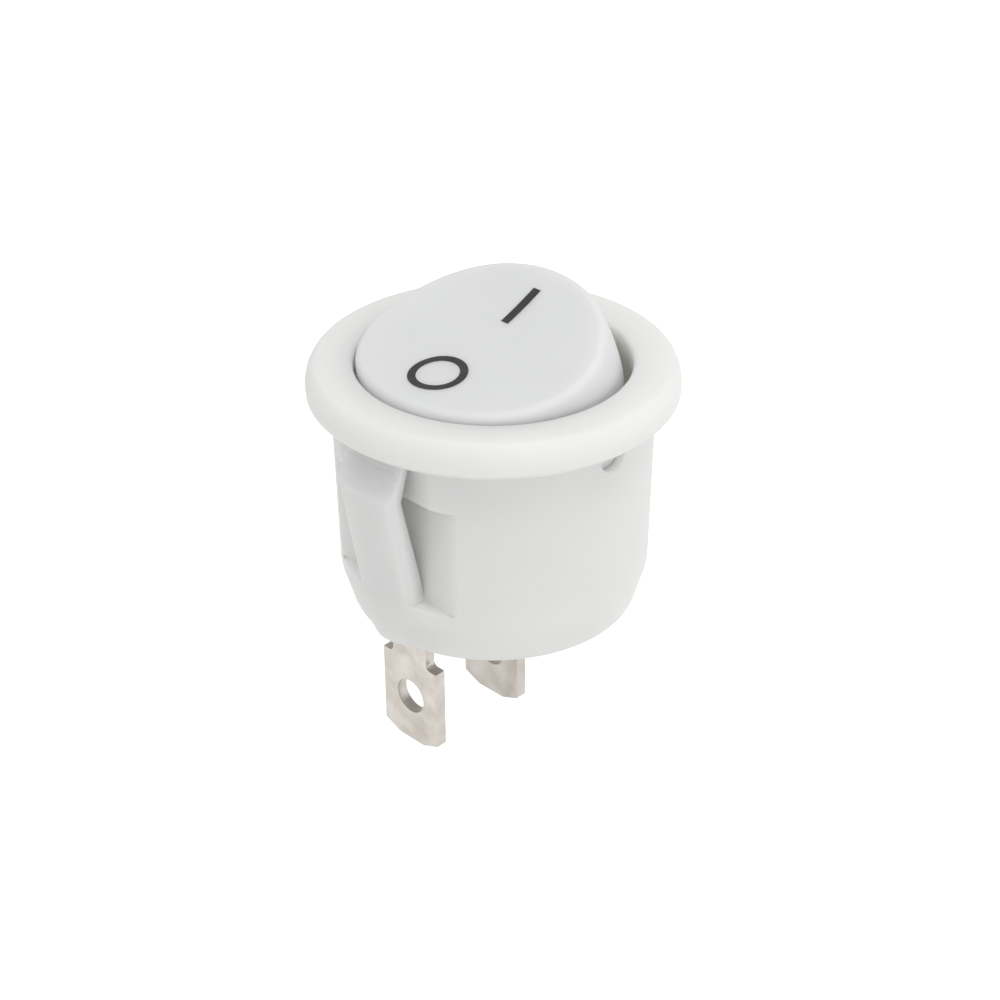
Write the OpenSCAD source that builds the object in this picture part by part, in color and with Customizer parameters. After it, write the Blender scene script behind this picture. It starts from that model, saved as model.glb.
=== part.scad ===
// Round snap-in panel rocker switch, single pole, on and off.
// Millimetres. The origin is on the axis of the round body, in the plane of the panel face that
// the bezel seats on. +Z points out of the panel, and +X runs from the O end to the I end of the
// rocker. The switch stands at off: the O end is pressed in.

/* [Bezel] */
// Outside diameter of the bezel
bezel_d = 23; // [22.4:0.1:26]
// Height of the bezel above the panel
bezel_h = 2.2; // [1.8:0.1:2.8]
// Width of the rounding at the bezel's outer edge
bezel_round_w = 0.8; // [0.4:0.1:1]
// Height of the rounding at the bezel's outer edge
bezel_round_h = 1.5; // [0.6:0.1:1.6]
// Small chamfer where the bezel's edge meets the panel
seat_chamfer = 0.4; // [0.1:0.05:0.5]
// Rounding at the mouth of the rocker well
mouth_round = 0.3; // [0.1:0.05:0.4]

/* [Barrel] */
// Diameter of the barrel that passes through the panel
barrel_d = 19.9; // [19.6:0.1:20.4]
// Thickness of the barrel wall round the rocker well
barrel_wall = 1.42; // [1.2:0.02:1.5]
// Depth of the body behind the panel
body_depth = 14; // [13.6:0.1:16]
// Thickness of the floor that holds the terminals
floor_t = 1.2; // [0.8:0.1:1.6]
// How much the barrel's radius narrows towards the floor
barrel_draft = 0.12; // [0:0.02:0.2]
// How much the foot of the body draws in to its bottom edge
foot_taper_w = 0.7; // [0.4:0.05:0.9]
// Height of the foot's taper
foot_taper_h = 2.5; // [1.5:0.1:2.8]
// Depth of the rocker well below the panel face
well_depth = 3.1; // [3:0.05:3.4]
// Thickness of the wall between the contact chamber and the arm recess
chamber_wall = 1.1; // [0.9:0.05:1.3]

/* [Snap arms] */
// Width of an arm
arm_w = 4.7; // [3.6:0.1:5]
// How far the root of an arm stands outside the recess flat
arm_root = 1.25; // [0.9:0.05:1.35]
// How far the ridge of an arm stands outside the barrel
arm_reach = 1.15; // [0.8:0.05:1.2]
// Distance of the ridge below the panel face
ridge_drop = 2.9; // [2.2:0.1:3.2]
// Thickness of an arm at its ridge
arm_t = 0.9; // [0.8:0.05:1.15]
// Thickness of an arm at its free end
arm_tip_t = 0.45; // [0.3:0.05:0.6]
// Gap between the free end of an arm and the bezel
arm_gap = 0.6; // [0.4:0.05:0.9]
// Number of grip steps between the ridge and the free end
grip_steps = 4; // [3:1:5]
// Depth of a grip step
grip_depth = 0.1; // [0.06:0.02:0.2]
// Bevel along the long outer edges of an arm
arm_bevel = 0.35; // [0.3:0.05:0.55]
// Depth of the recess flat behind an arm
recess_depth = 1.5; // [1.4:0.02:1.56]
// Distance of the recess floor below the panel face
recess_low = 10.5; // [9.8:0.1:11]
// Height of the collar between the recess and the bezel
collar_h = 3.2; // [3:0.1:3.6]
// Depth of the flat on the collar
collar_flat = 0.76; // [0.6:0.02:0.8]

/* [Rocker] */
// Tilt of the rocker at rest, and as much the other way when it is on
rest_tilt = 15; // [12:0.5:15]
// Depth of the pivot below the panel face
pivot_drop = 0.8; // [0.7:0.05:1]
// Height of the middle of the dished top above the pivot
crown_h = 4.4; // [4:0.1:4.8]
// Radius of the dish along the rocker
dish_r = 26; // [20:0.5:32]
// Gap between the rocker and the well
rocker_gap = 0.38; // [0.34:0.02:0.5]
// How much each end of the rocker draws in from the pivot to the rim
end_taper = 1.1; // [1:0.05:1.4]
// How much each side of the rocker draws in from the pivot to the rim
side_taper = 0.2; // [0.1:0.05:0.4]
// Rounding of the rocker's rim
rim_round = 0.5; // [0.3:0.1:0.8]
// Wall thickness of the rocker
rocker_wall = 1.2; // [1:0.05:1.4]
// Diameter of the trunnions
trunnion_d = 2.1; // [1.8:0.05:2.2]
// Radial running clearance of the trunnions
trunnion_gap = 0.05; // [0.03:0.01:0.08]
// How far the trunnions end short of the outside of the barrel
trunnion_short = 0.6; // [0.4:0.05:0.8]

/* [Plunger] */
// Diameter of the plunger
plunger_d = 2.7; // [2.4:0.05:2.8]
// Radial running clearance of the plunger in its guide
plunger_gap = 0.05; // [0.03:0.01:0.08]
// Distance of the plunger's tip from the pivot
plunger_reach = 7.4; // [7:0.1:7.8]
// Distance of the plunger's upper end below the pivot
plunger_top = 0.6; // [0.2:0.1:1]
// Wall thickness of the plunger guide
guide_wall = 0.75; // [0.6:0.05:0.9]
// Distance of the guide's lower end below the pivot
guide_reach = 3.2; // [2.8:0.1:3.6]
// Distance of the guide bore's closed end above the pivot
guide_top = 2.3; // [2:0.1:2.5]
// Wire diameter of the spring
spring_wire = 0.3; // [0.2:0.05:0.35]
// Number of turns of the spring
spring_turns = 5; // [4:1:6]
// Radial clearance of the spring in its guide
spring_gap = 0.15; // [0.1:0.05:0.2]

/* [Contacts] */
// Bend of each arm of the contact lever, which is also its tilt at rest
lever_bend = 8; // [6:0.5:9]
// Thickness of the contact lever
lever_t = 0.5; // [0.4:0.05:0.6]
// Width of the contact lever at the fulcrum
lever_w = 4.8; // [4.6:0.1:5]
// Width of the lever's arms
lever_arm_w = 3.4; // [3:0.1:3.6]
// Distance of the contacts from the fulcrum
contact_reach = 4.9; // [4.7:0.1:5]
// Distance of the centre of the lever's free end from the fulcrum
free_reach = 4.4; // [4:0.1:4.6]
// Working clearance between the parts of the mechanism
work_gap = 0.06; // [0.04:0.01:0.1]
// Diameter of a contact's head
contact_d = 2.5; // [2:0.1:2.8]
// Height of a contact's head
contact_h = 0.6; // [0.4:0.05:0.7]
// Diameter of a contact's shank
shank_d = 1.2; // [1:0.05:1.4]
// Height of a shank's riveted end
rivet_h = 0.25; // [0.15:0.05:0.35]

/* [Terminals] */
// Width of the blade
blade_w = 4.8; // [4.6:0.1:5]
// Thickness of the sheet
blade_t = 0.8; // [0.7:0.05:0.9]
// Distance of the load terminal from the common terminal
pitch = 7.3; // [7.1:0.05:7.35]
// Distance of the blade's shoulders below the body
shoulder_drop = 2.5; // [2:0.1:3]
// Length of the blade from its shoulders to its end
blade_l = 6.2; // [5.6:0.1:6.6]
// Width of the neck
neck_w = 3; // [2.8:0.1:3.4]
// Rounding between the neck and the shoulders
neck_round = 0.35; // [0.2:0.05:0.5]
// Width of the bevel at each corner of the blade's end
end_bevel_w = 1.3; // [0.8:0.05:1.5]
// Height of the bevel at each corner of the blade's end
end_bevel_h = 0.55; // [0.4:0.05:0.9]
// Diameter of the hole in the blade
hole_d = 2.35; // [2:0.05:2.5]
// Distance of the hole from the shoulders
hole_drop = 2.8; // [2.6:0.1:3.1]
// Clearance between the sheet and its slot
slot_gap = 0.05; // [0.03:0.01:0.08]
// How far the seat of a terminal stands out past each side of the blade
seat_w = 0.6; // [0.4:0.05:0.7]
// Height of the seat of a terminal above the floor
seat_h = 1.1; // [0.9:0.05:1.2]
// Inner radius of the load terminal's bend
bend_r = 0.4; // [0.3:0.05:0.5]
// Width of the lugs that locate the lever on the common terminal
lug_w = 0.65; // [0.5:0.05:0.8]
// Height of the lugs above the fulcrum
lug_h = 1.5; // [1.3:0.1:1.7]

/* [Hidden] */
round_faces = 96;
fine_faces = 48;
cut_over = 0.5;                                  // how far a cut runs past the face that it opens
foot_edge = 0.25;                                // chamfer at the bottom of an arm's face

bezel_r = bezel_d / 2;
barrel_r = barrel_d / 2;
floor_r = barrel_r - barrel_draft;
well_r = barrel_r - barrel_wall;
recess_x = barrel_r - recess_depth;
collar_x = barrel_r - collar_flat;
chamber_r = recess_x - chamber_wall;
chamber_low = -(body_depth - floor_t);

plan_r = well_r - rocker_gap;
trunnion_r = trunnion_d / 2;
pivot_bore_r = trunnion_r + trunnion_gap;
skirt_low = 0.3;                                 // lower edge of the rocker's skirt, above the pivot
hub_r = trunnion_r + 0.8;
web_t = 1;

plunger_r = plunger_d / 2;
guide_bore_r = plunger_r + plunger_gap;
guide_r = guide_bore_r + guide_wall;
spring_r = guide_bore_r - spring_gap - spring_wire / 2;

fulcrum_r = blade_t / 2;
lever_lift = fulcrum_r + 0.02;                   // the lever's underside, from the fulcrum's axis
lever_top = (lever_lift + lever_t) / cos(lever_bend);
fulcrum_z = -pivot_drop - plunger_reach - work_gap - lever_top;
shelf_z = fulcrum_z + lever_lift - 2 * contact_h - work_gap;
stop_z = fulcrum_z + lever_lift - work_gap;
shank_r = shank_d / 2;

shoulder_z = -body_depth - shoulder_drop;
blade_end_z = shoulder_z - blade_l;
slot_t = blade_t + 2 * slot_gap;
slot_w = blade_w + 2 * slot_gap;
seat_half = blade_w / 2 + seat_w;
seat_top_z = chamber_low + seat_h;

// ---- Housing ----

// Half section of the housing: bezel, barrel, well, contact chamber and floor
function bezel_edge(n = 8) =
    [for (i = [0:n]) let (a = 90 * i / n)
        [bezel_r - bezel_round_w * (1 - cos(a)), bezel_h - bezel_round_h * (1 - sin(a))]];
function mouth_edge(n = 4) =
    [for (i = [0:n]) let (a = 90 * i / n)
        [well_r + mouth_round * (1 - sin(a)), bezel_h - mouth_round * (1 - cos(a))]];
module housing_section() {
    polygon(concat(
        [[0, -body_depth], [floor_r - foot_taper_w, -body_depth], [floor_r, -body_depth + foot_taper_h],
         [barrel_r, -collar_h], [barrel_r, 0], [bezel_r - seat_chamfer, 0], [bezel_r, seat_chamfer]],
        bezel_edge(),
        mouth_edge(),
        [[well_r, -well_depth], [chamber_r, -well_depth], [chamber_r, chamber_low], [0, chamber_low]]));
}

// Flat behind a snap arm, the shallower flat on the collar above it, and the body below the arm
// cut back to the arm's own face
module arm_recess() {
    translate([recess_x, -barrel_r, -recess_low])
        cube([barrel_r, barrel_d, recess_low - collar_h]);
    translate([collar_x, -barrel_r, -collar_h - cut_over])
        cube([barrel_r, barrel_d, collar_h + cut_over]);
    translate([root_x, -arm_w / 2, -body_depth - cut_over])
        cube([barrel_r, arm_w, body_depth - recess_low + 2 * cut_over]);
}

// Side outline of a snap arm, from the bottom of the body up to the ridge and over the grip steps
root_x = recess_x + arm_root;
ridge_x = barrel_r + arm_reach;
tip_in = collar_x + arm_gap / 2;
tip_out = tip_in + arm_tip_t + grip_depth;
function grip(i) = let (t = i / grip_steps)
    [ridge_x + (tip_out - ridge_x) * t, -ridge_drop + (ridge_drop - arm_gap) * t];
module arm_outline() {
    foot_in = recess_x - chamber_wall / 2;
    polygon(concat(
        [[recess_x + 0.12, -recess_low], [foot_in, -recess_low], [foot_in, -body_depth],
         [root_x - foot_edge, -body_depth], [root_x, -body_depth + foot_edge], [root_x, -recess_low]],
        [for (i = [0:grip_steps - 1]) each [grip(i), grip(i + 1) - [grip_depth, 0]]],
        [[tip_in, -arm_gap], [ridge_x - arm_t, -ridge_drop]]));
}

// Cutter that bevels a sloping outer edge of an arm between two points of its outline
module edge_bevel(from, to) {
    run = to - from;
    translate([from[0], arm_w / 2, from[1]])
        rotate([0, atan2(run[0], run[1]), 0])
            rotate([0, 0, 45])
                translate([-arm_bevel / sqrt(2), -arm_bevel / sqrt(2), -cut_over])
                    cube([arm_bevel * sqrt(2), arm_bevel * sqrt(2), norm(run) + 2 * cut_over]);
}

module snap_arm() {
    root = [root_x, -recess_low];
    difference() {
        rotate([90, 0, 0])
            linear_extrude(arm_w, center = true)
                arm_outline();
        for (side = [0, 1])
            mirror([0, side, 0]) {
                edge_bevel(root, grip(0));
                edge_bevel(grip(0), grip(grip_steps));
            }
    }
}

module pivot_bores() {
    for (side = [-1, 1])
        translate([0, side * (well_r + barrel_r) / 2, -pivot_drop])
            rotate([90, 0, 0])
                cylinder(barrel_wall + 0.4, pivot_bore_r, pivot_bore_r, center = true, $fn = fine_faces);
}

// Slots in the floor, and the groove in the chamber's wall that the load terminal slides down
module terminal_slots() {
    for (x = [0, -pitch])
        translate([x - slot_t / 2, -slot_w / 2, -body_depth - cut_over])
            cube([slot_t, slot_w, floor_t + 2 * cut_over]);
    translate([-pitch - slot_t / 2, -seat_half - slot_gap, chamber_low])
        cube([slot_t + bend_r, 2 * (seat_half + slot_gap), -chamber_low - well_depth + cut_over]);
}

// Post that the free arm of the lever rests on
module lever_stop() {
    post = 1.4;
    translate([free_reach - post / 2, -post, chamber_low - cut_over])
        cube([post, 2 * post, stop_z - chamber_low + cut_over]);
}

module housing() {
    color([0.93, 0.93, 0.92])
        union() {
            difference() {
                rotate_extrude($fn = round_faces)
                    housing_section();
                for (turn = [0, 180])
                    rotate([0, 0, turn])
                        arm_recess();
                pivot_bores();
                terminal_slots();
            }
            for (turn = [0, 180])
                rotate([0, 0, turn])
                    snap_arm();
            lever_stop();
        }
}

// ---- Rocker: modelled upright about its pivot, then tilted to rest ----

module at_pivot() {
    translate([0, 0, -pivot_drop])
        rotate([0, -rest_tilt, 0])
            children();
}

rim_end_z = crown_h + pow(plan_r - end_taper, 2) / (2 * dish_r);
function end_half(z) = plan_r - end_taper * pow(max(z, 0) / rim_end_z, 2);
function side_half(z) = plan_r - side_taper * max(z, 0) / crown_h;
function flank(a, z, inset) = [(end_half(z) - inset) * cos(a), (side_half(z) - inset) * sin(a), z];
function dish(x, drop) = crown_h - drop + x * x / (2 * dish_r);
// Height of the sharp rim at an angle, found by closing in on where flank and dish meet
function rim_z(a, inset, drop, z = crown_h, n = 4) =
    n == 0 ? z : rim_z(a, inset, drop, dish(flank(a, z, inset)[0], drop), n - 1);
function on_dish(p, k, drop) = [p[0] * k, p[1] * k, dish(p[0] * k, drop)];
function soften(a, b, c, t) = (1 - t) * (1 - t) * a + 2 * t * (1 - t) * b + t * t * c;

// Cap with curved flanks and a dished top; its rings run up the flank, over the rim and inwards
module rocker_form(inset, drop, low, edge, faces) {
    flank_rings = 5;
    edge_rings = edge > 0 ? 6 : 1;
    dish_rings = 5;
    reach = plan_r - inset;
    function ring(a, i) =
        let (top = rim_z(a, inset, drop), rim = flank(a, top, inset), rim_low = top - edge)
        i < flank_rings ? flank(a, low + (rim_low - low) * i / flank_rings, inset)
        : i < flank_rings + edge_rings
            ? soften(flank(a, rim_low, inset), rim, on_dish(rim, 1 - edge / reach, drop),
                     (i - flank_rings) / edge_rings)
        : on_dish(rim, (1 - edge / reach) * (1 - (i - flank_rings - edge_rings) / dish_rings), drop);
    rings = flank_rings + edge_rings + dish_rings;
    points = concat(
        [for (i = [0:rings - 1]) for (j = [0:faces - 1]) ring(360 * j / faces, i)],
        [[0, 0, low], [0, 0, crown_h - drop]]);
    base = rings * faces;
    polyhedron(points, concat(
        [for (j = [0:faces - 1]) [base, j, (j + 1) % faces]],
        [for (j = [0:faces - 1]) [base + 1, base - faces + (j + 1) % faces, base - faces + j]],
        [for (i = [0:rings - 2]) for (j = [0:faces - 1])
            let (a = i * faces + j, b = i * faces + (j + 1) % faces)
            each [[a, a + faces, b], [b, a + faces, b + faces]]]));
}

module rocker() {
    color([0.94, 0.94, 0.93])
        at_pivot()
            difference() {
                union() {
                    difference() {
                        rocker_form(0, 0, skirt_low, rim_round, round_faces);
                        rocker_form(rocker_wall, rocker_wall, skirt_low - cut_over, 0, fine_faces);
                    }
                    translate([0, 0, -guide_reach])
                        cylinder(guide_reach + crown_h - rocker_wall / 2, guide_r, guide_r, $fn = fine_faces);
                    translate([-web_t / 2, -plan_r + rocker_wall / 2, skirt_low])
                        cube([web_t, 2 * plan_r - rocker_wall, crown_h - rocker_wall / 2 - skirt_low]);
                    for (side = [-1, 1])
                        rotate([-90 * side, 0, 0]) {
                            translate([0, 0, plan_r - rocker_wall - 0.4])
                                cylinder(rocker_wall + 0.35, hub_r, hub_r, $fn = fine_faces);
                            translate([0, 0, plan_r - rocker_wall])
                                cylinder(barrel_r - trunnion_short - plan_r + rocker_wall,
                                         trunnion_r, trunnion_r, $fn = fine_faces);
                        }
                }
                translate([0, 0, -guide_reach - cut_over])
                    cylinder(guide_reach + cut_over + guide_top, guide_bore_r, guide_bore_r, $fn = fine_faces);
            }
}

// ---- Plunger and spring, in the rocker's guide ----

module plunger() {
    color([0.85, 0.86, 0.84])
        at_pivot()
            rotate_extrude($fn = fine_faces)
                polygon(concat(
                    [[0, -plunger_top], [0, -plunger_reach]],
                    [for (i = [1:8]) let (a = 90 * i / 8)
                        [plunger_r * sin(a), -plunger_reach + plunger_r * (1 - cos(a))]],
                    [[plunger_r, -plunger_top]]));
}

// Round wire swept along a helix with closed ends
module coil(length, turns, mean_r, wire, steps = 20, sides = 8) {
    pitch_h = (length - wire) / turns;
    count = turns * steps;
    rows = [for (i = [0:count]) let (a = 360 * i / steps, z = wire / 2 + pitch_h * i / steps)
        [for (j = [0:sides - 1]) let (b = 360 * j / sides)
            [(mean_r + wire / 2 * cos(b)) * cos(a), (mean_r + wire / 2 * cos(b)) * sin(a),
             z + wire / 2 * sin(b)]]];
    polyhedron(
        [for (row = rows) each row],
        concat(
            [[for (j = [0:sides - 1]) j]],
            [[for (j = [sides - 1:-1:0]) count * sides + j]],
            [for (i = [0:count - 1]) for (j = [0:sides - 1])
                let (a = i * sides + j, b = i * sides + (j + 1) % sides)
                each [[a, a + sides, b], [b, a + sides, b + sides]]]));
}

module plunger_spring() {
    color([0.7, 0.72, 0.74])
        at_pivot()
            translate([0, 0, -plunger_top])
                coil(plunger_top + guide_top, spring_turns, spring_r, spring_wire);
}

// ---- Contact lever: modelled about the fulcrum's axis, then tilted to rest ----

module at_fulcrum() {
    translate([0, 0, fulcrum_z])
        rotate([0, lever_bend, 0])
            children();
}

// Point of the bent lever's side outline: along an arm and up from the fulcrum's axis
function on_arm(side, along, up) =
    [side * (along * cos(lever_bend) - up * sin(lever_bend)), along * sin(lever_bend) + up * cos(lever_bend)];
module lever_outline() {
    low = lever_lift;
    high = lever_lift + lever_t;
    far = chamber_r;
    polygon([[0, low / cos(lever_bend)], on_arm(1, far, low), on_arm(1, far, high),
             [0, high / cos(lever_bend)], on_arm(-1, far, high), on_arm(-1, far, low)]);
}
module lever_plan() {
    hub = lever_w * 0.4;
    reach_in = contact_reach * cos(lever_bend);
    reach_out = free_reach * cos(lever_bend);
    difference() {
        union() {
            square([2 * hub, lever_w], center = true);
            translate([-reach_in, -lever_arm_w / 2])
                square([reach_in + reach_out, lever_arm_w]);
            translate([-reach_in, 0])
                circle(lever_arm_w / 2, $fn = fine_faces);
            translate([reach_out, 0])
                circle(lever_arm_w / 2, $fn = fine_faces);
        }
        for (side = [-1, 1])
            translate([0, side * (blade_w / 2 - lug_w + lever_w / 2 - work_gap)])
                square([2 * (fulcrum_r + 4 * work_gap), lever_w], center = true);
    }
}
module contact_lever() {
    color([0.85, 0.62, 0.38])
        at_fulcrum()
            difference() {
                intersection() {
                    rotate([90, 0, 0])
                        linear_extrude(lever_w, center = true)
                            lever_outline();
                    linear_extrude(chamber_r)
                        lever_plan();
                }
                on_contact_arm()
                    cylinder(3 * lever_t, shank_r, shank_r, center = true, $fn = fine_faces);
            }
}

// Frame at the underside of the lever's contact arm, square to the sheet
module on_contact_arm() {
    rotate([0, lever_bend, 0])
        translate([-contact_reach, 0, lever_lift])
            children();
}

// Contact: domed head below its seat, shank through the sheet and a riveted end beyond it
module contact(sheet) {
    dome = contact_h * 0.3;
    rotate_extrude($fn = fine_faces)
        polygon(concat(
            [for (i = [0:6]) let (a = 90 * i / 6)
                [contact_d / 2 * sin(a), -contact_h + dome * (1 - cos(a))]],
            [[contact_d / 2, 0], [shank_r, 0], [shank_r, sheet], [shank_r * 1.3, sheet],
             [shank_r, sheet + rivet_h], [0, sheet + rivet_h]]));
}

module moving_contact() {
    color([0.82, 0.82, 0.8])
        at_fulcrum()
            on_contact_arm()
                contact(lever_t);
}

module fixed_contact() {
    color([0.82, 0.82, 0.8])
        translate([-contact_reach, 0, shelf_z])
            rotate([180, 0, 0])
                contact(blade_t);
}

// ---- Terminals: flat sheet in the YZ plane ----

// Outline from the blade's end up to a given height, with the neck and the seat on the floor
module terminal_outline(top) {
    half = blade_w / 2;
    difference() {
        union() {
            polygon([[-half, shoulder_z], [-half, blade_end_z + end_bevel_h],
                     [-half + end_bevel_w, blade_end_z], [half - end_bevel_w, blade_end_z],
                     [half, blade_end_z + end_bevel_h], [half, shoulder_z]]);
            translate([-neck_w / 2, shoulder_z - 0.1])
                square([neck_w, shoulder_drop + 0.2]);
            for (side = [0, 1])
                mirror([side, 0])
                    translate([neck_w / 2, shoulder_z])
                        difference() {
                            translate([-0.1, -0.1])
                                square(neck_round + 0.1);
                            translate([neck_round, neck_round])
                                circle(neck_round, $fn = fine_faces);
                        }
            translate([-half, -body_depth + 0.1])
                square([blade_w, top + body_depth - 0.1]);
            translate([-seat_half, chamber_low])
                square([2 * seat_half, seat_h]);
        }
        translate([0, shoulder_z - hole_drop])
            circle(hole_d / 2, $fn = fine_faces);
    }
}

module sheet_metal(x) {
    translate([x - blade_t / 2, 0, 0])
        rotate([90, 0, 90])
            linear_extrude(blade_t)
                children();
}

// The fulcrum is the sheet's rounded top edge, between two lugs that locate the lever
module common_terminal() {
    span = blade_w - 2 * lug_w;
    color([0.8, 0.77, 0.72])
        union() {
            sheet_metal(0)
                terminal_outline(fulcrum_z);
            translate([0, 0, fulcrum_z])
                rotate([90, 0, 0])
                    cylinder(span, fulcrum_r, fulcrum_r, center = true, $fn = fine_faces);
            for (side = [-1, 1])
                translate([-blade_t / 2, side * (blade_w - lug_w) / 2 - lug_w / 2, fulcrum_z - cut_over])
                    cube([blade_t, lug_w, lug_h + cut_over]);
        }
}

// The load terminal's sheet is bent inwards to a shelf under the lever's contact arm
module shelf_outline() {
    bend_out = bend_r + blade_t;
    leg = bend_r;
    shelf_end = -contact_reach + contact_d / 2 + 0.3;
    translate([-pitch - blade_t / 2, shelf_z])
        union() {
            difference() {
                intersection() {
                    translate([bend_out, -bend_out])
                        circle(bend_out, $fn = fine_faces);
                    translate([0, -bend_out])
                        square(bend_out);
                }
                translate([bend_out, -bend_out])
                    circle(bend_r, $fn = fine_faces);
            }
            translate([0, -bend_out - leg])
                square([blade_t, leg]);
            translate([bend_out, -blade_t])
                square([shelf_end + pitch + blade_t / 2 - bend_out, blade_t]);
        }
}
module load_terminal() {
    shelf_w = lever_arm_w + 0.4;
    color([0.8, 0.77, 0.72])
        difference() {
            union() {
                sheet_metal(-pitch)
                    terminal_outline(shelf_z - bend_r - blade_t - bend_r / 2);
                rotate([90, 0, 0])
                    linear_extrude(shelf_w, center = true)
                        shelf_outline();
            }
            translate([-contact_reach, 0, shelf_z - blade_t / 2])
                cylinder(2 * blade_t, shank_r, shank_r, center = true, $fn = fine_faces);
        }
}

housing();
rocker();
plunger();
plunger_spring();
contact_lever();
moving_contact();
fixed_contact();
common_terminal();
load_terminal();
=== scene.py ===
from math import atan2, cos, pi, radians, sin

import bmesh
import bpy
from mathutils import Matrix, Vector


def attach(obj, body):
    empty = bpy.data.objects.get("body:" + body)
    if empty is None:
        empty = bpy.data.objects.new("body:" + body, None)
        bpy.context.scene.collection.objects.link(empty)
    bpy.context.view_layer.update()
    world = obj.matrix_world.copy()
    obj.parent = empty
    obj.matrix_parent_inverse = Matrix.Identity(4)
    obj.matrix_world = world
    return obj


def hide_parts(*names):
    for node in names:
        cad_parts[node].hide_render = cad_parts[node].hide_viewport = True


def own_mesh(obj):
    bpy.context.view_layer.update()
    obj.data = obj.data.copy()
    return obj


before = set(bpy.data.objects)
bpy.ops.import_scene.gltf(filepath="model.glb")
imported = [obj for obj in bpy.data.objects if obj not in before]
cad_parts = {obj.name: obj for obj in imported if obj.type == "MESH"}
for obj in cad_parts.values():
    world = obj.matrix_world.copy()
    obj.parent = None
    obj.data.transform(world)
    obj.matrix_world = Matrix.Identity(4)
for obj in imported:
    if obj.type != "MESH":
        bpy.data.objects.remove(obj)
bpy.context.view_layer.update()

mm = 0.001  # shapes and places are given in millimetres, and angles in degrees
mergeGap = 0.0005
cutGap = 0.0001
scene = bpy.context.scene
print("frame loaded:", len(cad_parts), "nodes")


def newMesh(name, bm, sharpAngle=38):  # shaped in millimetres, kept in metres
    for v in bm.verts:
        v.co *= mm
    bm.normal_update()
    mesh = bpy.data.meshes.new(name)
    bm.to_mesh(mesh)
    bm.free()
    mesh.shade_smooth()
    mesh.set_sharp_from_angle(angle=radians(sharpAngle))
    obj = bpy.data.objects.new(name, mesh)
    scene.collection.objects.link(obj)
    return obj


def applyModifiers(obj):
    bpy.context.view_layer.update()
    shown = obj.evaluated_get(bpy.context.evaluated_depsgraph_get())
    done = bpy.data.meshes.new_from_object(shown)
    old = obj.data
    obj.modifiers.clear()
    obj.data = done
    done.name = obj.name
    bpy.data.meshes.remove(old)


def combine(obj, tools, how):  # cuts or joins helper shapes, then throws the helpers away
    for tool in tools:
        boolean = obj.modifiers.new(tool.name, "BOOLEAN")
        boolean.operation = how
        boolean.solver = "MANIFOLD"
        boolean.object = tool
    applyModifiers(obj)
    for tool in tools:
        mesh = tool.data
        bpy.data.objects.remove(tool)
        bpy.data.meshes.remove(mesh)


def drum(name, radius, start, end, segments=64):  # closed cylinder between two points
    bm = bmesh.new()
    axis = Vector(end) - Vector(start)
    bmesh.ops.create_cone(bm, cap_ends=True, segments=segments, radius1=radius, radius2=radius,
                          depth=axis.length)
    turn = Vector((0, 0, 1)).rotation_difference(axis).to_matrix()
    bmesh.ops.rotate(bm, verts=bm.verts, matrix=turn)
    bmesh.ops.translate(bm, verts=bm.verts, vec=(Vector(start) + Vector(end)) / 2)
    return newMesh(name, bm)


def block(name, low, high):
    bm = bmesh.new()
    bmesh.ops.create_cube(bm, size=1)
    low, high = Vector(low), Vector(high)
    bmesh.ops.scale(bm, verts=bm.verts, vec=high - low)
    bmesh.ops.translate(bm, verts=bm.verts, vec=(low + high) / 2)
    return newMesh(name, bm)


def cadCopy(node):  # a CAD mesh is loose triangles, so its copy is merged
    bm = bmesh.new()
    bm.from_mesh(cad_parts[node].data)
    for v in bm.verts:
        v.co /= mm
    bmesh.ops.remove_doubles(bm, verts=bm.verts, dist=mergeGap)
    return bm


def everything(bm):
    return bm.verts[:] + bm.edges[:] + bm.faces[:]


def only(kind, items):
    return [item for item in items if isinstance(item, kind)]


def easeEdges(bm, edges, offset, segments=3):
    bmesh.ops.bevel(bm, geom=edges, offset=offset, offset_type="OFFSET", segments=segments,
                    profile=0.5, affect="EDGES", clamp_overlap=True, material=-1)


def bend(start, corner, end, t):  # a point on the curve that rounds off a corner
    return start * (1 - t) ** 2 + corner * (2 * t * (1 - t)) + end * t * t


def finish(obj, body, material, replaced=()):
    obj.data.materials.clear()
    obj.data.materials.append(material)
    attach(obj, body)
    if replaced:
        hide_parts(*replaced)
    print("piece:", obj.name, len(obj.data.polygons), "faces")


def nodeMaterial(name):
    material = bpy.data.materials.new(name)
    material.use_nodes = True
    nodes, links = material.node_tree.nodes, material.node_tree.links
    shader = nodes["Principled BSDF"]
    coords = nodes.new("ShaderNodeTexCoord")
    return material, nodes, links, shader, coords.outputs["Object"]


def noise(nodes, links, coords, scale, detail, stretch=None):
    texture = nodes.new("ShaderNodeTexNoise")
    texture.inputs["Scale"].default_value = scale
    texture.inputs["Detail"].default_value = detail
    if stretch:
        mapping = nodes.new("ShaderNodeMapping")
        mapping.inputs["Scale"].default_value = stretch
        links.new(coords, mapping.inputs["Vector"])
        coords = mapping.outputs["Vector"]
    links.new(coords, texture.inputs["Vector"])
    return texture.outputs["Fac"]


def ramp(nodes, links, value, places, colours):  # two places along it, and a colour at each
    node = nodes.new("ShaderNodeValToRGB")
    for stop, place, colour in zip(node.color_ramp.elements, places, colours):
        stop.position, stop.color = place, (*colour, 1)
    links.new(value, node.inputs["Fac"])
    return node.outputs["Color"]


def span(nodes, links, value, low, high):
    node = nodes.new("ShaderNodeMapRange")
    node.inputs["To Min"].default_value = low
    node.inputs["To Max"].default_value = high
    links.new(value, node.inputs["Value"])
    return node.outputs["Result"]


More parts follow.
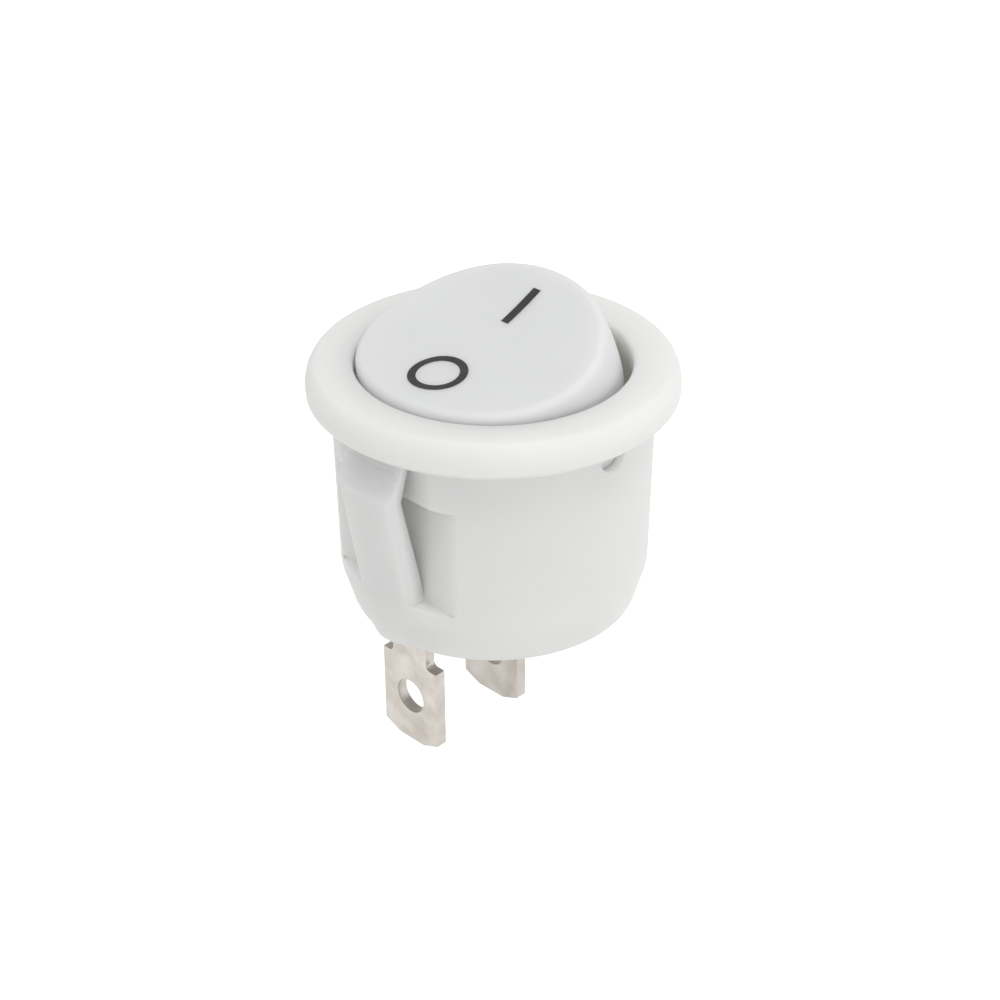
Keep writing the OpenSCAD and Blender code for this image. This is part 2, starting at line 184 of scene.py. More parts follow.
def bump(nodes, links, shader, value, strength, distance):
    node = nodes.new("ShaderNodeBump")
    node.inputs["Strength"].default_value = strength
    node.inputs["Distance"].default_value = distance
    links.new(value, node.inputs["Height"])
    links.new(node.outputs["Normal"], shader.inputs["Normal"])


# In the looks, a depth is in metres and a scale is per metre
plasticLooks = {
    "housing": {"dark": (0.835, 0.838, 0.81), "light": (0.865, 0.868, 0.845),
                "cloudScale": 90, "grainScale": 5200, "grainStrength": 0.25,
                "roughness": (0.42, 0.55), "specular": 0.4, "glow": 1.0, "glowDepth": 0.0025},
    "rocker": {"dark": (0.79, 0.795, 0.80), "light": (0.82, 0.825, 0.83),
               "cloudScale": 110, "grainScale": 5600, "grainStrength": 0.22,
               "roughness": (0.48, 0.6), "specular": 0.4, "glow": 0.7, "glowDepth": 0.0012},
    "plunger": {"dark": (0.62, 0.63, 0.60), "light": (0.68, 0.69, 0.66),
                "cloudScale": 160, "grainScale": 6000, "grainStrength": 0.15,
                "roughness": (0.30, 0.42), "specular": 0.5, "glow": 0.2, "glowDepth": 0.0008},
    "ink": {"dark": (0.040, 0.037, 0.038), "light": (0.060, 0.056, 0.057),
            "cloudScale": 1400, "grainScale": 7000, "grainStrength": 0.3,
            "roughness": (0.45, 0.65), "specular": 0.3, "glow": 0.0, "glowDepth": 0.0001},
}
anyPlastic = {
    "cloudDetail": 2, "cloudPlaces": (0.3, 0.7), "grainDetail": 4, "grainDepth": 0.00001,
    "ior": 1.5, "glowSpread": (1.0, 0.95, 0.9),
}


def satinPlastic(name, look, shared):
    material, nodes, links, shader, coords = nodeMaterial(name)
    cloud = noise(nodes, links, coords, look["cloudScale"], shared["cloudDetail"])
    colour = ramp(nodes, links, cloud, shared["cloudPlaces"], (look["dark"], look["light"]))
    links.new(colour, shader.inputs["Base Color"])
    grain = noise(nodes, links, coords, look["grainScale"], shared["grainDetail"])
    links.new(span(nodes, links, grain, *look["roughness"]), shader.inputs["Roughness"])
    bump(nodes, links, shader, grain, look["grainStrength"], shared["grainDepth"])
    shader.inputs["IOR"].default_value = shared["ior"]
    shader.inputs["Specular IOR Level"].default_value = look["specular"]
    shader.inputs["Subsurface Weight"].default_value = look["glow"]
    shader.inputs["Subsurface Radius"].default_value = shared["glowSpread"]
    shader.inputs["Subsurface Scale"].default_value = look["glowDepth"]
    return material


metalLooks = {
    "terminal": {"dark": (0.49, 0.45, 0.41), "light": (0.62, 0.59, 0.555), "stainScale": 700,
                 "grainScale": 900, "stretch": (1, 1, 0.12), "grainStrength": 0.3,
                 "grainDepth": 0.00002, "roughness": (0.34, 0.5), "metallic": 0.85},
    "spring": {"dark": (0.50, 0.51, 0.53), "light": (0.62, 0.63, 0.65), "stainScale": 900,
               "grainScale": 2500, "stretch": (1, 1, 1), "grainStrength": 0.2,
               "grainDepth": 0.00001, "roughness": (0.25, 0.4), "metallic": 1},
    "lever": {"dark": (0.72, 0.42, 0.24), "light": (0.82, 0.52, 0.32), "stainScale": 500,
              "grainScale": 1500, "stretch": (0.12, 1, 1), "grainStrength": 0.25,
              "grainDepth": 0.00001, "roughness": (0.25, 0.42), "metallic": 1},
    "contact": {"dark": (0.72, 0.72, 0.70), "light": (0.84, 0.84, 0.82), "stainScale": 800,
                "grainScale": 2200, "stretch": (1, 1, 1), "grainStrength": 0.2,
                "grainDepth": 0.00001, "roughness": (0.28, 0.45), "metallic": 1},
}
anyMetal = {
    "detail": 3, "stainPlaces": (0.3, 0.68), "rolledPlaces": (0.25, 0.6),
    "rolledTints": ((0.93, 0.93, 0.93), (1, 1, 1)),
}


def platedMetal(name, look, shared):
    material, nodes, links, shader, coords = nodeMaterial(name)
    rolled = noise(nodes, links, coords, look["grainScale"], shared["detail"], look["stretch"])
    stain = noise(nodes, links, coords, look["stainScale"], shared["detail"])
    mix = nodes.new("ShaderNodeMix")
    mix.data_type = "RGBA"
    mix.blend_type = "MULTIPLY"
    mix.inputs["Factor"].default_value = 1
    stained = ramp(nodes, links, stain, shared["stainPlaces"], (look["dark"], look["light"]))
    tint = ramp(nodes, links, rolled, shared["rolledPlaces"], shared["rolledTints"])
    links.new(stained, mix.inputs["A"])
    links.new(tint, mix.inputs["B"])
    links.new(mix.outputs["Result"], shader.inputs["Base Color"])
    links.new(span(nodes, links, rolled, *look["roughness"]), shader.inputs["Roughness"])
    shader.inputs["Metallic"].default_value = look["metallic"]
    bump(nodes, links, shader, rolled, look["grainStrength"], look["grainDepth"])
    return material


housingPlastic = satinPlastic("housingPlastic", plasticLooks["housing"], anyPlastic)
rockerPlastic = satinPlastic("rockerPlastic", plasticLooks["rocker"], anyPlastic)
plungerPlastic = satinPlastic("plungerPlastic", plasticLooks["plunger"], anyPlastic)
printInk = satinPlastic("printInk", plasticLooks["ink"], anyPlastic)
terminalMetal = platedMetal("terminalMetal", metalLooks["terminal"], anyMetal)
springSteel = platedMetal("springSteel", metalLooks["spring"], anyMetal)
leverCopper = platedMetal("leverCopper", metalLooks["lever"], anyMetal)
contactSilver = platedMetal("contactSilver", metalLooks["contact"], anyMetal)
print("materials made")


# The housing is a turned shell, pressed flat behind the arms
housing = {
    "segments": 600,
    "bezelRadius": 11.5, "bezelHeight": 2.2, "edgeWidth": 0.8, "edgeHeight": 1.5,
    "seatChamfer": 0.4, "chamferFrom": 0.06, "chamferTo": 0.04,
    "barrelRadius": 9.95, "floorRadius": 9.83, "depth": 14,
    "wellRadius": 8.53, "wellDepth": 3.1, "mouthRound": 0.3,
    "chamberRadius": 7.35, "chamberMid": -8, "chamberLow": -12.8, "floorMid": 4,
    "innerRound": 0.1, "innerRoundMid": 0.03,
    "flatX": 8.45, "flatLow": -10.5, "collarX": 9.19, "collarLow": -3.2, "soften": 0.12,
    "underLedge": 0.15, "underCollar": 0.1, "underSeat": 0.1,
    # heights from the ledge, the collar or the seat, each with how far the wall has moved
    "ledgeUnder": ((-0.07, 0.01), (-0.03, 0.03), (-0.008, 0.08), (0, 0.14)),
    "ledgeOver": ((0.008, 0.13), (0.03, 0.04), (0.1, 0)),
    "collarStep": ((-0.03, 0.05), (-0.008, 0.16), (0, 0.86), (0.03, 0.95), (0.09, 1)),
    "seatRound": ((-0.03, 0.02), (0, 0.09)),
    "footTaperW": 0.7, "footTaperH": 2.5, "footRound": 0.12, "footInner": 8.2,
    "footHalf": 2.25, "footBlend": 2.2, "footFace": 9.84, "footFaceLow": 9.62,
    "footCrown": 0.05,
    "pivotZ": -0.8, "boreRadius": 1.1, "boreFrom": 8, "boreTo": 10.5,
    "slotHalfT": 0.45, "slotHalfW": 2.45, "slotOver": 1, "pitch": 7.3,
}


def softMin(a, b, k):  # the smaller of two lengths, with a small round between them
    h = max(k - abs(a - b), 0) / k
    return min(a, b) - h * h * k / 4


def evenly(start, end, count):  # steps on from start, the last one at end
    return [start + (end - start) * i / count for i in range(1, count + 1)]


# A ring is its height, its full radius, its flat and the most that the flat may cut off.
# A plain ring has no flat, and its last number is the face that swells out to the arm
def barrelRings(h):
    low, flatLow, collarLow = -h["depth"], h["flatLow"], h["collarLow"]
    knee = low + h["footTaperH"]
    footTop = low + h["footRound"]
    freely = 9  # more than any flat cuts off

    def full(z):
        drafted = min(max((collarLow - z) / (collarLow - knee), 0), 1)
        drawn = max((knee - z) / h["footTaperH"], 0)
        draft = h["barrelRadius"] - h["floorRadius"]
        return h["barrelRadius"] - draft * drafted - h["footTaperW"] * drawn

    def face(z):
        lowShare = min(max((knee - z) / h["footTaperH"], 0), 1)
        edge = max(footTop - z, 0)
        return h["footFace"] + (h["footFaceLow"] - h["footFace"]) * lowShare - edge

    rings = []
    for share in (0, 0.3, 0.62, 1):
        z = low + h["footRound"] * (1 - cos(share * pi / 2))
        rings.append((z, full(z) - h["footRound"] * (1 - sin(share * pi / 2)), 0, face(z)))
    for z in evenly(footTop, flatLow - h["underLedge"], 10):
        rings.append((z, full(z), 0, face(z)))
    for up, inset in h["ledgeUnder"]:
        rings.append((flatLow + up, full(flatLow + up), h["flatX"], inset))
    for up, out in h["ledgeOver"]:
        rings.append((flatLow + up, full(flatLow + up), h["flatX"] + out, freely))
    for z in evenly(flatLow + up, collarLow - h["underCollar"], 14):
        rings.append((z, full(z), h["flatX"], freely))
    step = h["collarX"] - h["flatX"]
    for up, share in h["collarStep"]:
        rings.append((collarLow + up, full(collarLow + up), h["flatX"] + step * share, freely))
    for z in evenly(collarLow + up, -h["underSeat"], 6):
        rings.append((z, full(z), h["collarX"], freely))
    for z, out in h["seatRound"]:
        rings.append((z, h["barrelRadius"] + out, h["collarX"] + out, freely))
    return rings


def pressFlat(angle, full, flat, limit, h):
    side = max(abs(cos(angle)), 0.2)  # nothing is pressed anywhere near this
    if not flat:  # a soft swelling carries the arm's face on down to the bottom edge
        y = full * abs(sin(angle))
        t = min(max((h["footHalf"] - y) / h["footBlend"], 0), 1)
        swell = t * t * (3 - 2 * t)
        return full + ((limit - h["footCrown"] * y * y) / side - full) * swell
    return max(softMin(full, flat / side, h["soften"]), full - limit)


def turnedSection(h):  # from the bezel's underside round to the middle of the floor
    bezel, well, chamber = h["bezelRadius"], h["wellRadius"], h["chamberRadius"]
    shelf, floor = -h["wellDepth"], h["chamberLow"]
    corner, mid = h["innerRound"], h["innerRoundMid"]
    seat = bezel - h["seatChamfer"]
    points = [(seat - h["chamferFrom"], 0), (seat + mid, mid),
              (bezel - mid, h["seatChamfer"] - h["chamferTo"])]
    for i in range(17):
        a = radians(90 * i / 16)
        points.append((bezel - h["edgeWidth"] * (1 - cos(a)),
                       h["bezelHeight"] - h["edgeHeight"] * (1 - sin(a))))
    for x in evenly(bezel - h["edgeWidth"], well + h["mouthRound"], 6)[:-1]:
        points.append((x, h["bezelHeight"]))
    for i in range(9):
        a = radians(90 * i / 8)
        points.append((well + h["mouthRound"] * (1 - sin(a)),
                       h["bezelHeight"] - h["mouthRound"] * (1 - cos(a))))
    for z in evenly(h["bezelHeight"] - h["mouthRound"], shelf + corner, 5):
        points.append((well, z))
    points += [(well - mid, shelf + mid), (well - corner, shelf),
               (chamber + corner, shelf), (chamber + mid, shelf - mid),
               (chamber, shelf - corner), (chamber, h["chamberMid"]),
               (chamber, floor + corner), (chamber - corner, floor),
               (h["floorMid"], floor), (0, floor)]
    return points


def makeHousing(h):
    low = -h["depth"]
    rings = barrelRings(h)
    under = [(0, low), (h["floorMid"], low), (h["footInner"], low)]
    section = under + [(full, z) for z, full, flat, limit in rings] + turnedSection(h)
    bm = bmesh.new()
    marker = bm.verts.layers.int.new("ring")  # counts the rings from 1, and is 0 elsewhere
    chain = [bm.verts.new((x, 0, z)) for x, z in section]
    edges = [bm.edges.new(pair) for pair in zip(chain, chain[1:])]
    for i, v in enumerate(chain[len(under):len(under) + len(rings)]):
        v[marker] = i + 1
    bmesh.ops.spin(bm, geom=chain + edges, cent=(0, 0, 0), axis=(0, 0, 1), angle=2 * pi,
                   steps=h["segments"], use_merge=True)
    bmesh.ops.remove_doubles(bm, verts=bm.verts, dist=mergeGap)
    for v in bm.verts:
        if v[marker]:
            z, full, flat, limit = rings[v[marker] - 1]
            angle = atan2(v.co.y, v.co.x)
            reach = pressFlat(angle, full, flat, limit, h)
            v.co.x, v.co.y = reach * cos(angle), reach * sin(angle)
    bmesh.ops.recalc_face_normals(bm, faces=bm.faces)
    bm.verts.layers.int.remove(marker)
    shell = newMesh("housingShell", bm)
    bores = [drum("bore", h["boreRadius"], (0, y * h["boreFrom"], h["pivotZ"]),
                  (0, y * h["boreTo"], h["pivotZ"])) for y in (-1, 1)]
    slots = [block("slot", (x - h["slotHalfT"], -h["slotHalfW"], low - h["slotOver"]),
                   (x + h["slotHalfT"], h["slotHalfW"], h["chamberLow"] + h["slotOver"]))
             for x in (0, -h["pitch"])]
    combine(shell, bores + slots, "DIFFERENCE")
    return shell


snapArm = {
    "width": 4.7, "rootIn": 8.57, "rootOut": 9.85, "rootLow": -11.6, "rootTop": -10.5,
    "toe": 0.25, "blendTop": -9.0, "blendLow": -10.95, "blendIn": 0.006, "blendSteps": 8,
    "ridgeX": 11.1, "ridgeZ": -2.9, "ridgeThick": 0.9, "ridgeRound": 0.16,
    "tipIn": 9.49, "tipOut": 10.0, "tipZ": -0.6,
    "grooves": 6, "grooveDepth": 0.05, "grooveSteps": 6, "gripFrom": 0.07, "gripTo": 0.84,
    "bevel": 0.38, "sliver": 0.002, "edgeRound": 0.06, "edgeAngle": 24,
    "crown": 0.05, "crownTop": 0.02, "strips": 4, "stripWidth": 0.5, "sharpAngle": 34,
}


def armOutline(a):  # the root, up the face to the ridge, over the grip and down the back
    rootOut, rootTop = a["rootOut"], a["rootTop"]
    ridgeX, ridgeZ = a["ridgeX"], a["ridgeZ"]
    outline = [(a["rootIn"], rootTop), (a["rootIn"], a["rootLow"]),
               (rootOut - a["toe"], a["rootLow"])]
    lean = (ridgeX - rootOut) / (ridgeZ - rootTop)
    low = Vector((rootOut - a["blendIn"], a["blendLow"]))
    root = Vector((rootOut, rootTop))
    high = Vector((rootOut + lean * (a["blendTop"] - rootTop), a["blendTop"]))
    for i in range(a["blendSteps"] + 1):  # the face turns softly down into the body's foot
        outline.append(tuple(bend(low, root, high, i / a["blendSteps"])))
    outline.append((ridgeX, ridgeZ))
    count = a["grooves"] * a["grooveSteps"]
    for i in range(count + 1):  # soft grooves between the ridge and the free end
        t = a["gripFrom"] + (a["gripTo"] - a["gripFrom"]) * i / count
        dip = a["grooveDepth"] * (1 - cos(2 * pi * i / a["grooveSteps"])) / 2
        outline.append((ridgeX + (a["tipOut"] - ridgeX) * t - dip,
                        ridgeZ + (a["tipZ"] - ridgeZ) * t))
    outline += [(a["tipOut"], a["tipZ"]), (a["tipIn"], a["tipZ"]),
                (ridgeX - a["ridgeThick"], ridgeZ)]
    return outline


def widen(outline, half):  # flat side outline in x and z, given its width along y
    bm = bmesh.new()
    side = bm.faces.new([bm.verts.new((x, -half, z)) for x, z in outline])
    out = bmesh.ops.extrude_face_region(bm, geom=[side])["geom"]
    bmesh.ops.translate(bm, verts=only(bmesh.types.BMVert, out), vec=(0, 2 * half, 0))
    bmesh.ops.recalc_face_normals(bm, faces=bm.faces)
    return bm


def chamferFace(bm, a, half):  # takes off both long edges of the face, below the ridge
    along = Vector((a["ridgeX"] - a["rootOut"], 0, a["ridgeZ"] - a["rootTop"])).normalized()
    outward = Vector((along.z, 0, -along.x))
    for y in (-1, 1):
        edge = Vector((a["rootOut"], y * half, a["rootTop"]))
        cut = bmesh.ops.bisect_plane(bm, geom=everything(bm), dist=cutGap,
                                     plane_co=edge - outward * a["bevel"],
                                     plane_no=(outward + Vector((0, y, 0))).normalized(),
                                     clear_outer=True)
        rim = only(bmesh.types.BMEdge, cut["geom_cut"])
        bmesh.ops.holes_fill(bm, edges=rim, sides=0)
    bmesh.ops.remove_doubles(bm, verts=bm.verts, dist=a["sliver"])
    bmesh.ops.recalc_face_normals(bm, faces=bm.faces)


def onRidge(e, a):
    near, deep = 0.03, 0.1
    return all(abs(v.co.z - a["ridgeZ"]) < near and v.co.x > a["ridgeX"] - deep
               for v in e.verts)


def acrossGrip(e, a):  # the soft grooves keep their own shape
    near, deep, shortest = 0.05, 0.3, 1
    low, high = a["ridgeZ"] + near, a["tipZ"] - near
    return all(low < v.co.z < high and v.co.x > a["tipIn"] + deep for v in e.verts) \
        and abs(e.verts[0].co.y - e.verts[1].co.y) > shortest


def makeArm(a):
    half = a["width"] / 2
    bm = widen(armOutline(a), half)
    chamferFace(bm, a, half)
    easeEdges(bm, [e for e in bm.edges if onRidge(e, a)], a["ridgeRound"])
    sharp = [e for e in bm.edges if e.is_manifold
             and e.calc_face_angle(0) > radians(a["edgeAngle"]) and not acrossGrip(e, a)]
    easeEdges(bm, sharp, a["edgeRound"])
    for i in range(-a["strips"], a["strips"] + 1):  # so the face can follow the body's round
        bmesh.ops.bisect_plane(bm, geom=everything(bm), dist=cutGap,
                               plane_co=(0, i * a["stripWidth"], 0), plane_no=(0, 1, 0))
    for v in bm.verts:
        low = min(max((a["ridgeZ"] - v.co.z) / (a["ridgeZ"] - a["rootTop"]), 0), 1)
        v.co.x -= (a["crownTop"] + (a["crown"] - a["crownTop"]) * low) * v.co.y ** 2
    return bm


def addArms(shell, a):  # one moulding, so the arms are joined to the shell
    arms = []
    for name, turn in (("snapArmO", pi), ("snapArmI", 0)):
        arm = newMesh(name, makeArm(a))
        arm.data.transform(Matrix.Rotation(turn, 4, "Z"))
        arms.append(arm)
    combine(shell, arms, "UNION")
    shell.data.set_sharp_from_angle(angle=radians(a["sharpAngle"]))
    return shell


shell = addArms(makeHousing(housing), snapArm)
finish(shell, "body", housingPlastic, ["housing"])


rocker = {
    "segments": 240, "tilt": 15, "pivotZ": -0.8, "crown": 4.4, "dishRadius": 26,
    "planRadius": 8.15, "endTaper": 1.1, "sideTaper": 0.2, "rimRound": 0.5, "wall": 1.2,
    "innerRound": 0.3, "skirtLow": 0.3,
    "dishSteps": 22, "rimSteps": 12, "flankSteps": 10, "innerDishSteps": 8, "innerFlankSteps": 5,
    "trunnionRadius": 1.05, "trunnionEnd": 9.35,
    "hubRadius": 1.85, "hubInside": 0.4, "hubSunk": 0.05, "web": 1.0, "webSunk": 0.6,
    "guideRadius": 2.15, "guideBore": 1.4, "guideLow": -3.2, "guideTop": 2.3, "guideOver": 1,
    "sharpAngle": 50,
}


def dishZ(x, r, drop=0):
    return r["crown"] - drop + x * x / (2 * r["dishRadius"])


def flankPoint(angle, z, inset, r):
    rimEnd = r["crown"] + (r["planRadius"] - r["endTaper"]) ** 2 / (2 * r["dishRadius"])
    end = r["planRadius"] - r["endTaper"] * (max(z, 0) / rimEnd) ** 2 - inset
    side = r["planRadius"] - r["sideTaper"] * max(z, 0) / r["crown"] - inset
    return Vector((end * cos(angle), side * sin(angle), z))


def capPoint(angle, part, t, inset, drop, edge, r):
    rimZ = r["crown"]
    for i in range(5):  # closes in on where the flank meets the dish
        rimZ = dishZ(flankPoint(angle, rimZ, inset, r).x, r, drop)
    if part == "flank":
        return flankPoint(angle, r["skirtLow"] + (rimZ - edge - r["skirtLow"]) * t, inset, r)
    reach = 1 - edge / (r["planRadius"] - inset)
    rim = flankPoint(angle, rimZ, inset, r)
    inner = Vector((rim.x * reach, rim.y * reach, dishZ(rim.x * reach, r, drop)))
    if part == "rim":
        return bend(flankPoint(angle, rimZ - edge, inset, r), rim, inner, t)
    return Vector((inner.x * (1 - t), inner.y * (1 - t), dishZ(inner.x * (1 - t), r, drop)))


def capRings(r):  # from the middle of the ceiling, down inside, round the lip and over the dish
    dish, rim, flank = r["dishSteps"], r["rimSteps"], r["flankSteps"]
    innerDish, innerFlank = r["innerDishSteps"], r["innerFlankSteps"]
    inside = [("dish", 1 - i / innerDish) for i in range(innerDish + 1)] + [("rim", 0.5)]
    inside += [("flank", 1 - i / innerFlank) for i in range(innerFlank + 1)]
    outside = [("flank", i / flank) for i in range(flank + 1)]
    outside += [("rim", i / rim) for i in range(1, rim)]
    outside += [("dish", i / dish) for i in range(dish + 1)]
    rings = [(part, t, r["wall"], r["wall"], r["innerRound"]) for part, t in inside]
    return rings + [(part, t, 0, 0, r["rimRound"]) for part, t in outside]


def capShell(r):
    bm = bmesh.new()
    place = bm.verts.layers.int.new("place")
    ring = bmesh.ops.create_circle(bm, segments=r["segments"], radius=1)["verts"]
    for j, v in enumerate(ring):
        v[place] = j
    edges = bm.edges[:]
    for step, (part, t, inset, drop, edge) in enumerate(capRings(r)):
        if step:
            out = bmesh.ops.extrude_edge_only(bm, edges=edges)["geom"]
            ring = only(bmesh.types.BMVert, out)
            fresh = set(ring)
            edges = [e for e in only(bmesh.types.BMEdge, out) if fresh.issuperset(e.verts)]
        for v in ring:
            v.co = capPoint(2 * pi * v[place] / r["segments"], part, t, inset, drop, edge, r)
    bm.verts.layers.int.remove(place)
    bmesh.ops.remove_doubles(bm, verts=bm.verts, dist=mergeGap)
    bmesh.ops.recalc_face_normals(bm, faces=bm.faces)
    return bm


def toRest(obj, r):  # shaped level, then tilted about the pivot to stand at off
    pivot = Matrix.Translation((0, 0, r["pivotZ"] * mm))
    obj.data.transform(pivot @ Matrix.Rotation(radians(-r["tilt"]), 4, "Y"))
    return obj


def makeRocker(r):
    cap = newMesh("rockerCap", capShell(r), r["sharpAngle"])
    wallIn = r["planRadius"] - r["wall"]
    hubEnd = wallIn + r["wall"] - r["hubSunk"]
    ceiling = r["crown"] - r["wall"] / 2
    parts = [drum("guide", r["guideRadius"], (0, 0, r["guideLow"]), (0, 0, ceiling)),
             block("web", (-r["web"] / 2, -wallIn - r["webSunk"], r["skirtLow"]),
                   (r["web"] / 2, wallIn + r["webSunk"], ceiling))]
    for y in (-1, 1):
        parts.append(drum("trunnion", r["trunnionRadius"], (0, y * wallIn, 0),
                          (0, y * r["trunnionEnd"], 0)))
        parts.append(drum("hub", r["hubRadius"], (0, y * (wallIn - r["hubInside"]), 0),
                          (0, y * hubEnd, 0)))
    combine(cap, parts, "UNION")
    bore = drum("guideBore", r["guideBore"], (0, 0, r["guideLow"] - r["guideOver"]),
                (0, 0, r["guideTop"]))
    combine(cap, [bore], "DIFFERENCE")
    cap.data.set_sharp_from_angle(angle=radians(r["sharpAngle"]))
    return toRest(cap, r)


finish(makeRocker(rocker), "rocker", rockerPlastic, ["rocker"])


marks = {
    "ringX": -3.59, "ringOuter": 1.82, "ringInner": 1.32, "ringSegments": 96, "ringSteps": 3,
    "barFrom": 2.21, "barTo": 5.31, "barHalf": 0.29, "barSteps": 24,
    "proud": 0.012, "sunk": 0.03,
}


def layOnDish(bm, m, r):  # drops a flat pattern on to the dish and gives it a thin body
    top = bm.faces[:]
    bmesh.ops.recalc_face_normals(bm, faces=top)
    out = bmesh.ops.extrude_face_region(bm, geom=top, use_keep_orig=True)["geom"]
    lower = set(only(bmesh.types.BMVert, out))
    for v in bm.verts:
        v.co.z = dishZ(v.co.x, r) + (-m["sunk"] if v in lower else m["proud"])
    bmesh.ops.recalc_face_normals(bm, faces=bm.faces)


def makeRing(m, r):
    bm = bmesh.new()
    loops = []
    for i in range(m["ringSteps"] + 1):
        radius = m["ringInner"] + (m["ringOuter"] - m["ringInner"]) * i / m["ringSteps"]
        out = bmesh.ops.create_circle(bm, segments=m["ringSegments"], radius=radius)
        loops.append(list({e for v in out["verts"] for e in v.link_edges}))
        if i:
            bmesh.ops.bridge_loops(bm, edges=loops[-2] + loops[-1])
    bmesh.ops.translate(bm, verts=bm.verts, vec=(m["ringX"], 0, 0))
    layOnDish(bm, m, r)
    return bm


def makeBar(m, r):
    bm = bmesh.new()
    bmesh.ops.create_grid(bm, x_segments=m["barSteps"], y_segments=3, size=0.5)
    bmesh.ops.scale(bm, verts=bm.verts, vec=(m["barTo"] - m["barFrom"], 2 * m["barHalf"], 1))
    bmesh.ops.translate(bm, verts=bm.verts, vec=((m["barTo"] + m["barFrom"]) / 2, 0, 0))
    layOnDish(bm, m, r)
    return bm


for name, bm in (("inkRing", makeRing(marks, rocker)), ("inkBar", makeBar(marks, rocker))):
    finish(toRest(newMesh(name, bm), rocker), "rocker", printInk)


sheetEdges = {"roundness": 0.07, "segments": 3, "flatAngle": 1, "edgeAngle": 30,
              "sharpAngle": 25}


def makeSheet(name, node, s):  # a terminal with its stamped edges broken
    bm = cadCopy(node)
    bmesh.ops.dissolve_limit(bm, angle_limit=radians(s["flatAngle"]), verts=bm.verts,
                             edges=bm.edges)
    stamped = [e for e in bm.edges
               if e.is_manifold and e.calc_face_angle(0) > radians(s["edgeAngle"])]
    easeEdges(bm, stamped, s["roundness"], s["segments"])
    return newMesh(name, bm, s["sharpAngle"])


for name, node in (("commonBlade", "common_terminal"), ("loadBlade", "load_terminal")):
    blade = makeSheet(name, node, sheetEdges)
    finish(blade, "body", terminalMetal, [node])


driveSpring = {"travel": 1.02, "sharpAngle": 60}  # it shortens as the plunger goes in


def shorten(obj):  # only gives the spring its own copy of its mesh, and moves nothing
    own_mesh(obj)


coil = newMesh("driveSpring", cadCopy("plunger_spring"), driveSpring["sharpAngle"])
finish(coil, "rocker", springSteel, ["plunger_spring"])
shorten(coil)


# These nodes keep their CAD shape and only get a finish
innerFinish = {
    "plunger": plungerPlastic, "contact_lever": leverCopper,
    "moving_contact": contactSilver, "fixed_contact": contactSilver,
}
for node, material in innerFinish.items():
    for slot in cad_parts[node].material_slots:
        slot.material = material
print("inner parts dressed")


# The floor lies just under the blades' ends, and the lamps' power is in watts
studio = {
    "floorZ": -22.7, "floorGap": 0.02, "floorSize": 3000, "floorColour": (0.86, 0.86, 0.86),
    "floorGlow": 0.72, "worldColour": (1.0, 1.0, 1.0), "worldStrength": 0.62,
    "lamps": (
        {"name": "topLamp", "from": (-30, -50, 400), "size": 320, "power": 0.45,
         "colour": (1.0, 1.0, 0.99)},
        {"name": "sideLamp", "from": (260, -330, 120), "size": 300, "power": 0.18,
         "colour": (1.0, 1.0, 0.99)},
        {"name": "frontLamp", "from": (-130, -310, 120), "size": 180, "power": 0.15,
         "colour": (1.0, 1.0, 1.0)},
    ),
    "lampTarget": (0, 0, -4),
    "azimuth": -45.48, "elevation": 31.12, "roll": -0.22, "distance": 125,
    "shiftRight": 0.4026, "shiftUp": -6.870, "lens": 73.43, "sensor": 36,
    "clipNear": 10, "clipFar": 20000,
}


def mathNode(nodes, links, operation, *values):  # a value is a socket or a plain number
    node = nodes.new("ShaderNodeMath")
    node.operation = operation
    for socket, value in zip(node.inputs, values):
        if isinstance(value, float):
            socket.default_value = value
        else:
            links.new(value, socket)
    return node.outputs["Value"]


def floorMaterial(s):
    material = bpy.data.materials.new("floorWhite")
    material.use_nodes = True
    nodes, links = material.node_tree.nodes, material.node_tree.links
    nodes.clear()
    matte = nodes.new("ShaderNodeBsdfDiffuse")
    matte.inputs["Color"].default_value = (*s["floorColour"], 1)
    path = nodes.new("ShaderNodeLightPath")
    camera, glossy = path.outputs["Is Camera Ray"], path.outputs["Is Glossy Ray"]
    seen = mathNode(nodes, links, "MAXIMUM", camera, glossy)
    glow = nodes.new("ShaderNodeEmission")
    links.new(mathNode(nodes, links, "MULTIPLY", seen, s["floorGlow"]), glow.inputs["Strength"])
    total = nodes.new("ShaderNodeAddShader")
    links.new(matte.outputs["BSDF"], total.inputs[0])
    links.new(glow.outputs["Emission"], total.inputs[1])
    side = nodes.new("ShaderNodeNewGeometry")  # from below, the camera looks through the floor
    under = mathNode(nodes, links, "MULTIPLY", camera, side.outputs["Backfacing"])
    clear = nodes.new("ShaderNodeBsdfTransparent")
    choose = nodes.new("ShaderNodeMixShader")
    links.new(under, choose.inputs["Fac"])
    links.new(total.outputs["Shader"], choose.inputs[1])
    links.new(clear.outputs["BSDF"], choose.inputs[2])
    output = nodes.new("ShaderNodeOutputMaterial")
    links.new(choose.outputs["Shader"], output.inputs["Surface"])
    return material


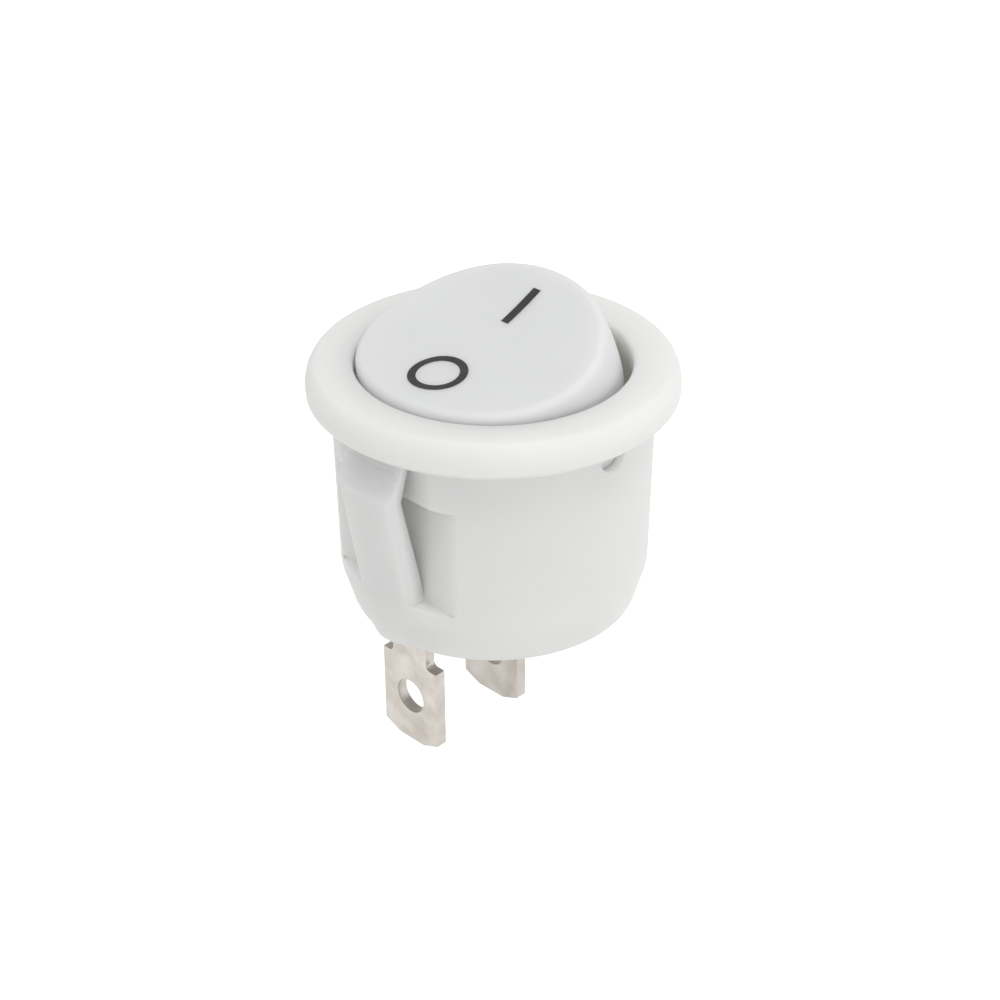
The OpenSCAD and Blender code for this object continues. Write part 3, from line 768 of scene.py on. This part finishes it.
def makeFloor(s):
    bm = bmesh.new()
    bmesh.ops.create_grid(bm, x_segments=2, y_segments=2, size=s["floorSize"] / 2)
    bmesh.ops.translate(bm, verts=bm.verts, vec=(0, 0, s["floorZ"] - s["floorGap"]))
    floor = newMesh("floor", bm)
    floor.data.materials.append(floorMaterial(s))


def makeWorld(s):
    world = bpy.data.worlds.new("studioWorld")
    world.use_nodes = True
    nodes, links = world.node_tree.nodes, world.node_tree.links
    background = nodes["Background"]
    background.inputs["Color"].default_value = (*s["worldColour"], 1)
    path = nodes.new("ShaderNodeLightPath")
    seen = mathNode(nodes, links, "MAXIMUM", path.outputs["Is Camera Ray"],
                    path.outputs["Is Transmission Ray"])
    strength = span(nodes, links, seen, s["worldStrength"], 1.0)  # plain white where seen
    links.new(strength, background.inputs["Strength"])
    scene.world = world


def makeLamps(s):
    for lamp in s["lamps"]:
        light = bpy.data.lights.new(lamp["name"], "AREA")
        light.shape = "DISK"
        light.size = lamp["size"] * mm
        light.energy = lamp["power"]
        light.color = lamp["colour"]
        obj = bpy.data.objects.new(lamp["name"], light)
        obj.location = Vector(lamp["from"]) * mm
        aim = Vector(s["lampTarget"]) * mm - obj.location
        obj.rotation_euler = aim.to_track_quat("-Z", "Y").to_euler()
        scene.collection.objects.link(obj)


def makeCamera(s):
    a, e, roll = radians(s["azimuth"]), radians(s["elevation"]), radians(s["roll"])
    back = Vector((sin(a) * cos(e), -cos(a) * cos(e), sin(e)))
    right = Vector((cos(a), sin(a), 0))
    up = back.cross(right)
    right, up = right * cos(roll) + up * sin(roll), up * cos(roll) - right * sin(roll)
    camera = bpy.data.cameras.new("camera")
    camera.sensor_width = s["sensor"]
    camera.lens = s["lens"]
    camera.clip_start = s["clipNear"] * mm
    camera.clip_end = s["clipFar"] * mm
    obj = bpy.data.objects.new("camera", camera)
    place = back * s["distance"] + right * s["shiftRight"] + up * s["shiftUp"]
    axes = Matrix((right, up, back)).transposed().to_4x4()
    obj.matrix_world = Matrix.Translation(place * mm) @ axes
    scene.collection.objects.link(obj)
    scene.camera = obj


makeFloor(studio)
makeWorld(studio)
makeLamps(studio)
makeCamera(studio)
scene.view_settings.view_transform = "Standard"
print("studio set")
